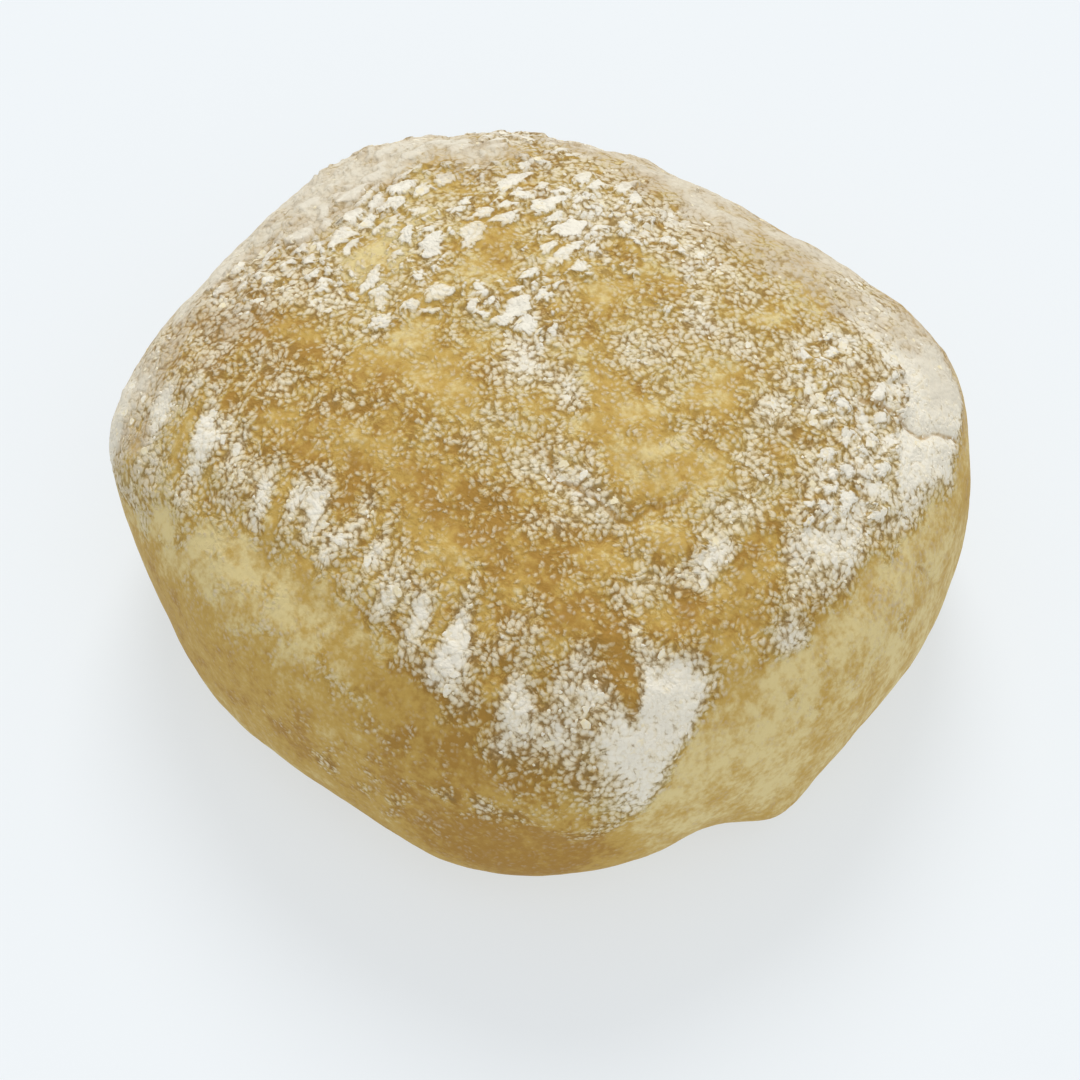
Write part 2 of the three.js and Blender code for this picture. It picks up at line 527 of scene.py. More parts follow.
# Deeper browned crust, or below zero paler and yellower, and painted shade low on the front corner
TOAST_AND_FOOT_SHADE_STRIPS = (
    Strip((-30, -19, 46), (1, 0, 0), 14, 7, 0.46),
    Strip((6, -23, 47), (1, 0, 0), 18, 7, 0.38),
    Strip((28, -24, 44.5), (1, -0.2, 0), 14, 6, 0.50),
    Strip((40, -10, 44), (0, 1, 0), 11, 6, 0.38),
    Strip((36.5, -25.4, 40), (0.86, -0.5, -0.4), 6, 3.0, 0.75),
    Strip((-40, -24, 42), (1, 0, 0), 10, 8, 0.15),
    Strip((-16, -29, 44), (1, 0, 0), 16, 6, 0.36),
    Strip((28, -39, 34), (1, 0, 0), 14, 9, 0.55),
    Strip((20, 2, 50), (0, 1, 0), 9, 7, -0.06),
    Strip((-5, -10, 50), (1, 0, 0), 10, 6, -0.04),
    Strip((-28, 0, 48), (0, 1, 0), 16, 8, -0.28),
    Strip((10, 34, 46), (1, 0, 0), 16, 10, -0.10),
    Strip((-20, -43, 35), (1, -0.08, 0.15), 28, 6, -0.34),
    Strip((-42, -38, 22), (1, -1, 0.3), 12, 8, -0.20),
    Strip((48, 0, 34), (0, 1, 0.1), 26, 7, -0.36),
    Strip((46.5, -5, 38), (0, 1, 0.1), 12, 2.4, 0.50),
    Strip((52, 2, 18), (0, 1, 0), 34, 14, -0.26),
    Strip((45, -29, 22), (1, 1, 0), 9, 10, -0.42),
    Strip((6, -48, 22), (1, 0.05, 0), 34, 8, 0.26),
    Strip((-20, -44, 8), (1, 0, 0), 26, 8, -0.05),
    # painted shade: browner low on the front corner, where the roll meets the floor
    Strip((36, -40, 17), (1, 0.6, 0), 13, 8, 0.95),
)

# Where the flour lies in large flat plates
FLAKY_STRIPS = (
    Strip((-24, 12, 47), (0.4, 1, 0), 26, 14, 1.0),
    Strip((-38, 14, 42), (0, 1, 0), 22, 10, 0.7),
    Strip((-4, 18, 50), (1, 0.3, 0), 16, 9, 0.8),
    Strip((-10, 3, 50), (1, 0.15, 0), 13, 7, 0.9),
    Strip((-22, -5, 48.5), (1, -0.3, 0), 8, 6, 0.6),
    Strip((38, 14, 42), (0, 1, 0), 14, 7, 0.40),
    Strip((28, 24, 46), (1, 0, 0), 8, 8, 0.4),
    Strip((34, -7, 46), (0, 1, 0), 6, 4, 0.4),
)

# Thin cracks in the skin
CRACKS = (
    Crack(((9, -10, 49), (14, -12.5, 49), (18.5, -11.5, 49), (23.5, -11.6, 48), (27, -17, 46)), 0.30),
    Crack(((27, -3, 49), (25.5, -7, 48), (23.5, -11.6, 48), (23, -15, 47)), 0.30),
    Crack(((36.5, 27.5, 42), (39, 29, 39), (40.2, 32, 38), (41.5, 35, 35)), 0.45),
    Crack(((32, 25, 44), (34.5, 27, 43), (36.5, 27.5, 42)), 0.25),
    Crack(((49, 17, 32), (50, 19, 29), (50, 21, 24)), 0.5),
    Crack(((52, 4, 27), (53, 5, 23), (52.5, 3, 19)), 0.4),
    Crack(((50, -15, 20), (50, -18, 17)), 0.4),
)

# Where the stretched side is freckled with flour
FRECKLE_STRIPS = (
    Strip((-24, -44, 32), (1, 0, 0.1), 24, 5, 0.15),
    Strip((8, -45, 33), (1, 0, 0), 20, 5, 0.13),
    Strip((26, -44, 26), (1, 0.15, 0), 14, 1.8, 0.58),
    Strip((14, -48, 20), (1, 0, 0), 16, 5, 0.19),
    Strip((-34, -41, 29), (1, -0.6, 0), 9, 4, 0.22),
    Strip((38, -40, 24), (1, 1, 0), 10, 4, 0.20),
    Strip((50, 14, 28), (0, 1, 0), 14, 5, 0.12),
    Strip((50, -6, 30), (0, 1, 0), 12, 4, 0.10),
)


# How unevenly each of them lies
FLOUR_RIPPLES = (Ripple(8.0, 0.13), Ripple(4.6, 0.30, 31.0), Ripple(2.2, 0.14))
LEAST_FLOUR_RIPPLES = (Ripple(2.6, 0.14, 17.0),)
SKIN_EDGE_RIPPLES = (Ripple(6.0, 2.4, 7.0), Ripple(2.6, 1.4, 3.0))
STREAK = Ripple(2.6, 0.85, 13.0)
VEIL_RIPPLES = (Ripple(12.0, 0.10, 71.0),)
VEIL_GAPS = (Ripple(8.0, 0.8, 5.0), Ripple(3.4, 0.6, 9.0))
FLAKY_RIPPLES = (Ripple(9.0, 0.15, 91.0),)
FRECKLE_CLUMPS = (Ripple(3.2, 2.6, 3.0),)
TOAST_RIPPLES = (Ripple(13.0, 0.18, 57.0), Ripple(5.0, 0.24))


@dataclass(frozen=True)
class Dusting:
    """Reads how much flour, powder and browning a place has, each as a share from 0 to 1."""

    dough: Dough
    usual_flour: float = 0.43
    least_flour: float = 0.15
    usual_toast: float = 0.41
    veil_strength: float = 1.08
    thickest_veil: float = 0.92
    freckle_strength: float = 0.75
    streak_slant: float = 0.3
    streak_squeeze: float = 0.25
    shoulder_y: float = -35.0
    shoulder_spread: float = 7.0
    streaks_fade: tuple[float, float] = (24.0, 36.0)
    crack_width: float = 0.7
    far_from_cracks: float = 9.0

    def flour(self, points: np.ndarray) -> np.ndarray:
        """Reads how much flour sticks in the crust.

        Args:
            points: Places in millimetres.

        Returns:
            The share of flour at each place.
        """
        total = gather(points, FLOUR_PATCHES + FLOUR_RIPPLES, self.usual_flour)
        across = points[:, 0] + self.streak_slant * points[:, 1]
        slanted = np.column_stack([across, self.streak_squeeze * points[:, 1:]])
        total += STREAK.weight(slanted) * self.shoulder(points)
        skin = self.dough.skin_cover(points, gather(points, SKIN_EDGE_RIPPLES))
        least = gather(points, LEAST_FLOUR_RIPPLES, self.least_flour)
        return np.clip(np.maximum(total, least) * skin + self.freckles(points) * (1.0 - skin), 0.0, 1.0)

    def shoulder(self, points: np.ndarray) -> np.ndarray:
        """Gives 1 along the -Y shoulder, where the flour is drawn out in streaks."""
        start, end = self.streaks_fade
        near = bump(points[:, 1] - self.shoulder_y, self.shoulder_spread)
        return near * smooth_step(-points[:, 0], -end, -start)

    def freckles(self, points: np.ndarray) -> np.ndarray:
        """Gives the thin flour of the stretched side, which lies in clumps."""
        clumps = gather(points, FRECKLE_CLUMPS, self.freckle_strength)
        return np.maximum(gather(points, FRECKLE_STRIPS) * clumps, 0.0)

    def veil(self, points: np.ndarray) -> np.ndarray:
        """Gives the share of fine powder at each point."""
        total = gather(points, VEIL_RIPPLES + VEIL_STRIPS) * gather(points, VEIL_GAPS, self.veil_strength)
        return np.clip(total, 0.0, self.thickest_veil)

    def flaky(self, points: np.ndarray) -> np.ndarray:
        """Gives how flaky the flour is at each point, from 0 for fine grain."""
        return np.clip(gather(points, FLAKY_RIPPLES + FLAKY_STRIPS), 0.0, 1.0)

    def toast_and_shade(self, points: np.ndarray) -> np.ndarray:
        """Gives how browned the crust is at each point, with painted shade low on the front corner."""
        return np.clip(gather(points, TOAST_AND_FOOT_SHADE_STRIPS + TOAST_RIPPLES, self.usual_toast), 0.0, 1.0)

    def cracks(self, points: np.ndarray) -> tuple[np.ndarray, np.ndarray]:
        """Finds the cracks near places.

        Args:
            points: Places on the surface, in millimetres.

        Returns:
            How far the nearest crack is from each place, and how deep the cracks dip there.
        """
        nearest, depth = np.full(len(points), self.far_from_cracks), np.zeros(len(points))
        for crack in CRACKS:
            distance = crack.distance(points)
            nearest = np.minimum(nearest, distance)
            depth = np.maximum(depth, crack.deep * bump(distance, self.crack_width))
        return nearest, depth


# Materials


@dataclass(frozen=True)
class Tint:
    """A colour in linear light."""

    red: float
    green: float
    blue: float

    def rgba(self) -> tuple[float, float, float, float]:
        """Gives the colour with full alpha, as sockets take it."""
        return (self.red, self.green, self.blue, 1.0)


@dataclass(frozen=True)
class CrustFinish:
    """Colours of the baked crust, of the flour that is stuck in it and of the shade painted into its pits. Its
    relief is in millimetres.
    """

    name: str = "baked_crust"
    pale: Tint = Tint(0.71, 0.58, 0.275)
    gold: Tint = Tint(0.53, 0.345, 0.082)
    brown: Tint = Tint(0.385, 0.210, 0.036)
    # painted shade for the pits between the crumbs
    pit_shade: Tint = Tint(0.17, 0.105, 0.026)
    tan: Tint = Tint(0.62, 0.475, 0.24)
    cream: Tint = Tint(0.80, 0.70, 0.49)
    white: Tint = Tint(0.89, 0.845, 0.725)
    dusty: Tint = Tint(0.56, 0.455, 0.31)
    powder: Tint = Tint(0.70, 0.64, 0.515)
    roughness: float = 0.72
    specular: float = 0.25
    relief: float = 0.28


@dataclass(frozen=True)
class FlourFinish:
    """Colours of the loose flour. Its grain and relief are in millimetres."""

    name: str = "loose_flour"
    white: Tint = Tint(0.84, 0.79, 0.67)
    cream: Tint = Tint(0.82, 0.72, 0.48)
    roughness: float = 0.9
    specular: float = 0.2
    grain: float = 0.5
    relief: float = 0.12
    relief_strength: float = 0.5


Value = float | bpy.types.NodeSocket
Colour = Tint | bpy.types.NodeSocket


class Sheet:
    """Lays out one node tree with short calls."""

    def __init__(self, tree: bpy.types.NodeTree) -> None:
        """Takes the tree to draw in."""
        self.tree = tree

    def add(self, kind: str, **settings: object) -> bpy.types.Node:
        """Adds a node and gives it its settings."""
        node = self.tree.nodes.new(kind)
        for name, value in settings.items():
            setattr(node, name, value)
        return node

    def join(self, source: bpy.types.NodeSocket, target: bpy.types.NodeSocket) -> None:
        """Links one socket to another."""
        self.tree.links.new(source, target)

    def place(self) -> bpy.types.NodeSocket:
        """Gives Object coordinates."""
        return self.add("ShaderNodeTexCoord").outputs["Object"]

    def attribute(self, name: str, output: str = "Fac") -> bpy.types.NodeSocket:
        """Gives a number, or as a "Vector" three, that the mesh holds."""
        return self.add("ShaderNodeAttribute", attribute_name=name).outputs[output]

    def noise(
        self, place: bpy.types.NodeSocket, size: float, detail: float = 3.0, rough: float = 0.5
    ) -> bpy.types.NodeSocket:
        """Adds soft noise.

        Args:
            place: Object coordinates.
            size: Width of its features, in millimetres.
            detail: How many finer noises lie over it.
            rough: How much each of these adds.

        Returns:
            The noise, from 0 to 1.
        """
        node = self.add("ShaderNodeTexNoise")
        node.inputs["Scale"].default_value = 1.0 / (size * MM)
        node.inputs["Detail"].default_value = detail
        node.inputs["Roughness"].default_value = rough
        self.join(place, node.inputs["Vector"])
        return node.outputs["Fac"]

    def maths(
        self, operation: str, first: Value, second: Value | None = None, third: Value | None = None
    ) -> bpy.types.NodeSocket:
        """Works out a sum.

        Args:
            operation: What a Math node calls it.
            first: A number or a socket, as the others are.
            second: The next one, if it takes two.
            third: The next one, if it takes three.

        Returns:
            The outcome.
        """
        node = self.add("ShaderNodeMath", operation=operation)
        for socket, value in zip(node.inputs, (first, second, third)):
            if isinstance(value, bpy.types.NodeSocket):
                self.join(value, socket)
            elif value is not None:
                socket.default_value = value
        return node.outputs[0]

    def ramp(
        self, value: bpy.types.NodeSocket, low: float, high: float, start: float = 0.0, end: float = 1.0
    ) -> bpy.types.NodeSocket:
        """Maps one range onto another with a soft rise, and holds it at both ends.

        Args:
            value: What to map.
            low: Where the rise starts.
            high: Where it ends.
            start: The outcome at low.
            end: The outcome at high.

        Returns:
            The mapped value.
        """
        node = self.add("ShaderNodeMapRange", interpolation_type="SMOOTHSTEP")
        self.join(value, node.inputs["Value"])
        for name, number in zip(("From Min", "From Max", "To Min", "To Max"), (low, high, start, end)):
            node.inputs[name].default_value = number
        return node.outputs["Result"]

    def mix(self, share: Value, first: Colour, second: Colour) -> bpy.types.NodeSocket:
        """Mixes two colours.

        Args:
            share: How much there is of the second one.
            first: A tint or a socket, as the second is.
            second: The colour that covers it.

        Returns:
            The mixed colour.
        """
        node = self.add("ShaderNodeMix", data_type="RGBA")
        colours = (node.inputs[6], node.inputs[7])
        for socket, value in zip((node.inputs[0], *colours), (share, first, second)):
            if isinstance(value, bpy.types.NodeSocket):
                self.join(value, socket)
            else:
                socket.default_value = value.rgba() if isinstance(value, Tint) else value
        return node.outputs[2]


def new_material(name: str) -> tuple[bpy.types.Material, Sheet, bpy.types.Node]:
    """Makes a node material.

    Args:
        name: What the material is called.

    Returns:
        The material, its sheet and its Principled node.
    """
    material = bpy.data.materials.new(name)
    material.use_nodes = True
    return material, Sheet(material.node_tree), material.node_tree.nodes["Principled BSDF"]


@dataclass
class CrumblyGrain:
    """The grain of dried flour, as one node group that both materials share.

    The surface is covered in small rounded crumbs of uneven outline. The higher the cover, the further
    down their flanks the flour reaches, from single crumbs where it is thin to a whole sheet, with
    pits between the crumbs, where it is thick, into which the crust paints shade.
    """

    fine_scale: float = 1.7
    fine_detail: float = 3.0
    bend: float = 0.7
    fine_height: float = 1.1
    own_height: float = 0.36
    flour_from: float = 0.64
    flour_to: float = 1.42
    bare_below: float = 0.16
    tree: bpy.types.NodeTree = field(init=False)

    def __post_init__(self) -> None:
        """Builds the group once."""
        self.tree = bpy.data.node_groups.new("crumbly_grain", "ShaderNodeTree")
        face = self.tree.interface
        face.new_socket("Place", in_out="INPUT", socket_type="NodeSocketVector")
        face.new_socket("Crests", in_out="INPUT", socket_type="NodeSocketFloat")
        face.new_socket("Cover", in_out="INPUT", socket_type="NodeSocketFloat")
        face.new_socket("Height", in_out="OUTPUT", socket_type="NodeSocketFloat")
        face.new_socket("Flour", in_out="OUTPUT", socket_type="NodeSocketFloat")
        sheet = Sheet(self.tree)
        entry = sheet.add("NodeGroupInput").outputs
        leaving = sheet.add("NodeGroupOutput").inputs
        scaled = sheet.add("ShaderNodeVectorMath", operation="SCALE")
        sheet.join(entry["Place"], scaled.inputs[0])
        sheet.join(entry["Crests"], scaled.inputs["Scale"])
        # Crumbs of uneven outline
        fine = sheet.add("ShaderNodeTexNoise")
        fine.inputs["Scale"].default_value = self.fine_scale
        fine.inputs["Detail"].default_value = self.fine_detail
        sheet.join(scaled.outputs[0], fine.inputs["Vector"])
        bent = sheet.add("ShaderNodeVectorMath", operation="MULTIPLY_ADD")
        bent.inputs[1].default_value = (self.bend, self.bend, self.bend)
        sheet.join(fine.outputs["Color"], bent.inputs[0])
        sheet.join(scaled.outputs[0], bent.inputs[2])
        crumbs = sheet.add("ShaderNodeTexVoronoi", feature="F1")
        crumbs.inputs["Scale"].default_value = 1.0
        sheet.join(bent.outputs[0], crumbs.inputs["Vector"])
        # Their height, and each crumb's own share of flour
        round_top = sheet.ramp(crumbs.outputs["Distance"], 0.9, 0.12, 0.08, 0.92)
        uneven = sheet.maths("MULTIPLY_ADD", fine.outputs["Fac"], self.fine_height, -self.fine_height / 2.0)
        height = sheet.maths("ADD", round_top, uneven)
        split = sheet.add("ShaderNodeSeparateColor")
        sheet.join(crumbs.outputs["Color"], split.inputs["Color"])
        own = sheet.maths("MULTIPLY_ADD", split.outputs["Red"], self.own_height, -self.own_height / 2.0)
        above = sheet.maths("ADD", sheet.maths("ADD", height, own), entry["Cover"])
        floury = sheet.ramp(above, self.flour_from, self.flour_to)
        some = sheet.ramp(entry["Cover"], 0.0, self.bare_below)
        sheet.join(height, leaving["Height"])
        sheet.join(sheet.maths("MULTIPLY", floury, some), leaving["Flour"])

    def put(
        self, sheet: Sheet, place: bpy.types.NodeSocket, crests: float, cover: bpy.types.NodeSocket
    ) -> bpy.types.bpy_prop_collection:
        """Places the group in a material.

        Args:
            sheet: The material's sheet.
            place: Where on the piece, as a vector.
            crests: How many crests there are along one unit of that vector.
            cover: Share of the surface that is under flour.

        Returns:
            The group's outputs: Height of the grain and Flour on it.
        """
        node = sheet.add("ShaderNodeGroup", node_tree=self.tree)
        node.inputs["Crests"].default_value = crests
        sheet.join(place, node.inputs["Place"])
        sheet.join(cover, node.inputs["Cover"])
        return node.outputs


def add_relief(
    sheet: Sheet, shader: bpy.types.Node, height: bpy.types.NodeSocket, depth: float, strength: float = 1.0
) -> None:
    """Raises a material's grain.

    Args:
        sheet: The material's sheet.
        shader: Its Principled node.
        height: Height of the grain, from 0 to 1.
        depth: How far 1 stands out, in millimetres.
        strength: How much of it shows.
    """
    relief = sheet.add("ShaderNodeBump")
    relief.inputs["Strength"].default_value = strength
    relief.inputs["Distance"].default_value = depth * MM
    sheet.join(height, relief.inputs["Height"])
    sheet.join(relief.outputs["Normal"], shader.inputs["Normal"])


class BakedCrust:
    """The material of the crust: browned dough, with flour stuck in it where the mesh says it lies."""

    def __init__(self, finish: CrustFinish, grain: CrumblyGrain) -> None:
        """Lays out the whole material.

        Args:
            finish: Its colours.
            grain: The grain of dried flour.
        """
        self.finish = finish
        self.material, self.sheet, self.shader = new_material(finish.name)
        self.read_mesh(grain)
        # the pits between the crumbs get painted shade before the flour goes on
        floury = self.dusted(self.shade_pits(self.baked()))
        self.sheet.join(self.powdered(floury), self.shader.inputs["Base Color"])
        self.shader.inputs["Roughness"].default_value = finish.roughness
        self.shader.inputs["Specular IOR Level"].default_value = finish.specular
        add_relief(self.sheet, self.shader, self.raised(), finish.relief)

    def read_mesh(self, grain: CrumblyGrain) -> None:
        """Reads what the mesh holds and puts the grain on it.

        Args:
            grain: The grain of dried flour.
        """
        sheet = self.sheet
        place = sheet.place()
        self.flour, self.plate = sheet.attribute("flour"), sheet.attribute("plate")
        self.veil, self.toast_and_shade = sheet.attribute("veil"), sheet.attribute("toast_and_shade")
        self.mottle = sheet.noise(place, 3.2, 5.0, 0.65)
        self.fine = sheet.noise(place, 1.0, 3.0, 0.6)
        cake = sheet.ramp(self.flour, 0.74, 1.0, 0.0, 0.19)
        cover = sheet.maths("MULTIPLY_ADD", self.flour, 1.02, cake)
        grains = grain.put(sheet, sheet.attribute("crumb_place", "Vector"), 1.0, cover)
        self.height = grains["Height"]
        crack = sheet.maths("MULTIPLY_ADD", self.mottle, 0.5, sheet.attribute("crack"))
        self.split = sheet.ramp(crack, 0.80, 0.46)
        self.plated = sheet.ramp(sheet.maths("MULTIPLY_ADD", self.height, 0.5, self.plate), 0.50, 0.84)
        covered = sheet.maths("MAXIMUM", grains["Flour"], self.plated)
        self.covered = sheet.maths("MULTIPLY", covered, sheet.maths("MULTIPLY_ADD", self.split, -0.75, 1.0))

    def baked(self) -> bpy.types.NodeSocket:
        """Colours the bare dough, with painted shade in the dips of the grain and painted light on its crests,
        and duller under thin flour.
        """
        sheet, finish = self.sheet, self.finish
        busy = sheet.ramp(self.flour, 0.08, 0.30, 0.12, 1.0)
        # painted shade in the dips and painted light on the crests of the grain, where flour lies
        dips = sheet.maths("MULTIPLY", sheet.ramp(self.height, 0.05, 0.85, 0.26, -0.26), busy)
        uneven = sheet.ramp(self.mottle, 0.24, 0.76, -0.38, 0.38)
        uneven = sheet.maths("MULTIPLY", uneven, sheet.ramp(self.flour, 0.0, 0.15, 0.62, 1.0))
        uneven = sheet.maths("ADD", uneven, sheet.ramp(self.fine, 0.28, 0.72, -0.14, 0.14))
        browned = sheet.maths("ADD", sheet.maths("ADD", self.toast_and_shade, uneven), dips)
        light = sheet.mix(sheet.ramp(browned, -0.1, 0.5), finish.pale, finish.gold)
        baked = sheet.mix(sheet.ramp(browned, 0.45, 1.05), light, finish.brown)
        return sheet.mix(sheet.ramp(self.flour, 0.30, 0.95, 0.0, 0.50), baked, finish.dusty)

    def shade_pits(self, baked: bpy.types.NodeSocket) -> bpy.types.NodeSocket:
        """Paints shade into the pits between the crumbs, and darkens the cracks, which are fainter where there
        is no flour.

        Args:
            baked: The dough's colour.

        Returns:
            The colour with painted shade in the pits, and with the cracks.
        """
        sheet, finish = self.sheet, self.finish
        # painted shade in the low pits of the grain, deeper where more flour lies
        deep = sheet.ramp(self.flour, 0.10, 0.6, 0.0, 0.62)
        shaded = sheet.mix(sheet.maths("MULTIPLY", sheet.ramp(self.height, 0.48, 0.0), deep), baked, finish.pit_shade)
        seen = sheet.ramp(self.flour, 0.0, 0.3, 0.35, 0.75)
        return sheet.mix(sheet.maths("MULTIPLY", self.split, seen), shaded, finish.brown)

    def dusted(self, shaded: bpy.types.NodeSocket) -> bpy.types.NodeSocket:
        """Lays flour on the grain and on the plates, whiter where it is thick.

        Args:
            shaded: The colour under the flour.

        Returns:
            The colour with flour.
        """
        sheet, finish = self.sheet, self.finish
        dense = sheet.maths("MULTIPLY_ADD", self.height, 0.42, self.flour)
        dense = sheet.maths("MULTIPLY_ADD", self.plated, 0.40, dense)
        dense = sheet.maths("MULTIPLY_ADD", self.mottle, 0.5, dense)
        dust = sheet.mix(sheet.ramp(dense, 0.45, 1.20), finish.tan, finish.cream)
        dust = sheet.mix(sheet.ramp(dense, 1.05, 1.55), dust, finish.white)
        return sheet.mix(sheet.maths("MULTIPLY", self.covered, 0.95), shaded, dust)

    def powdered(self, floury: bpy.types.NodeSocket) -> bpy.types.NodeSocket:
        """Lays fine powder over the whole, worn through at the dips.

        Args:
            floury: The colour under the powder.

        Returns:
            The colour with powder.
        """
        sheet, finish = self.sheet, self.finish
        thick = sheet.maths("MAXIMUM", self.veil, sheet.maths("MULTIPLY", self.flour, 0.95))
        powder = sheet.mix(sheet.ramp(thick, 0.45, 1.0), finish.dusty, finish.powder)
        worn = sheet.maths("MULTIPLY_ADD", self.mottle, 0.9, self.veil)
        worn = sheet.maths("MULTIPLY_ADD", self.height, 0.55, worn)
        return sheet.mix(sheet.ramp(worn, 0.76, 1.58, 0.0, 0.86), floury, powder)

    def raised(self) -> bpy.types.NodeSocket:
        """Gives the height of the grain, which shows less where powder or caked flour fills it."""
        sheet = self.sheet
        calm = sheet.ramp(self.veil, 0.2, 0.9, 1.0, 0.5)
        rough = sheet.maths("MULTIPLY", self.height, sheet.ramp(self.flour, 0.0, 0.35, 0.12, 0.8))
        rough = sheet.maths("MULTIPLY", rough, sheet.ramp(self.flour, 0.75, 1.0, 1.0, 0.6))
        rough = sheet.maths("MULTIPLY_ADD", self.fine, 0.35, rough)
        return sheet.maths("MULTIPLY", sheet.maths("MULTIPLY_ADD", self.covered, 0.2, rough), calm)


def flour_material(finish: FlourFinish, grain: CrumblyGrain) -> bpy.types.Material:
    """Makes the loose flour: cream where it is thin and toasted, white where it lies thick.

    Args:
        finish: Its colours.
        grain: The grain of dried flour.

    Returns:
        The material.
    """
    material, sheet, shader = new_material(finish.name)
    white = sheet.attribute("flour")
    crumbs = grain.put(sheet, sheet.place(), 1.0 / (finish.grain * MM), white)
    share = sheet.maths("ADD", white, sheet.ramp(crumbs["Height"], 0.2, 0.9, -0.2, 0.2))
    tinted = sheet.mix(sheet.ramp(share, 0.2, 1.0), finish.cream, finish.white)
    sheet.join(tinted, shader.inputs["Base Color"])
    shader.inputs["Roughness"].default_value = finish.roughness
    shader.inputs["Specular IOR Level"].default_value = finish.specular
    add_relief(sheet, shader, crumbs["Height"], finish.relief, finish.relief_strength)
    return material


# Pieces


def store(mesh: bpy.types.Mesh, name: str, values: np.ndarray) -> None:
    """Stores one number for each vertex of a mesh."""
    layer = mesh.attributes.new(name, "FLOAT", "POINT")
    layer.data.foreach_set("value", values.astype(np.float32))


def store_vectors(mesh: bpy.types.Mesh, name: str, values: np.ndarray) -> None:
    """Stores one vector for each vertex of a mesh."""
    layer = mesh.attributes.new(name, "FLOAT_VECTOR", "POINT")
    layer.data.foreach_set("vector", values.astype(np.float32).ravel())


def add_piece(mesh: bpy.types.Mesh, material: bpy.types.Material) -> bpy.types.Object:
    """Puts a mesh in the scene as a piece of the roll.

    Args:
        mesh: The finished mesh, in place.
        material: What it is made of.

    Returns:
        The piece.
    """
    mesh.materials.append(material)
    piece = bpy.data.objects.new(mesh.name, mesh)
    bpy.context.scene.collection.objects.link(piece)
    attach(piece, ROOT_BODY)
    log.info("%s: %d faces", piece.name, len(mesh.polygons))
    return piece


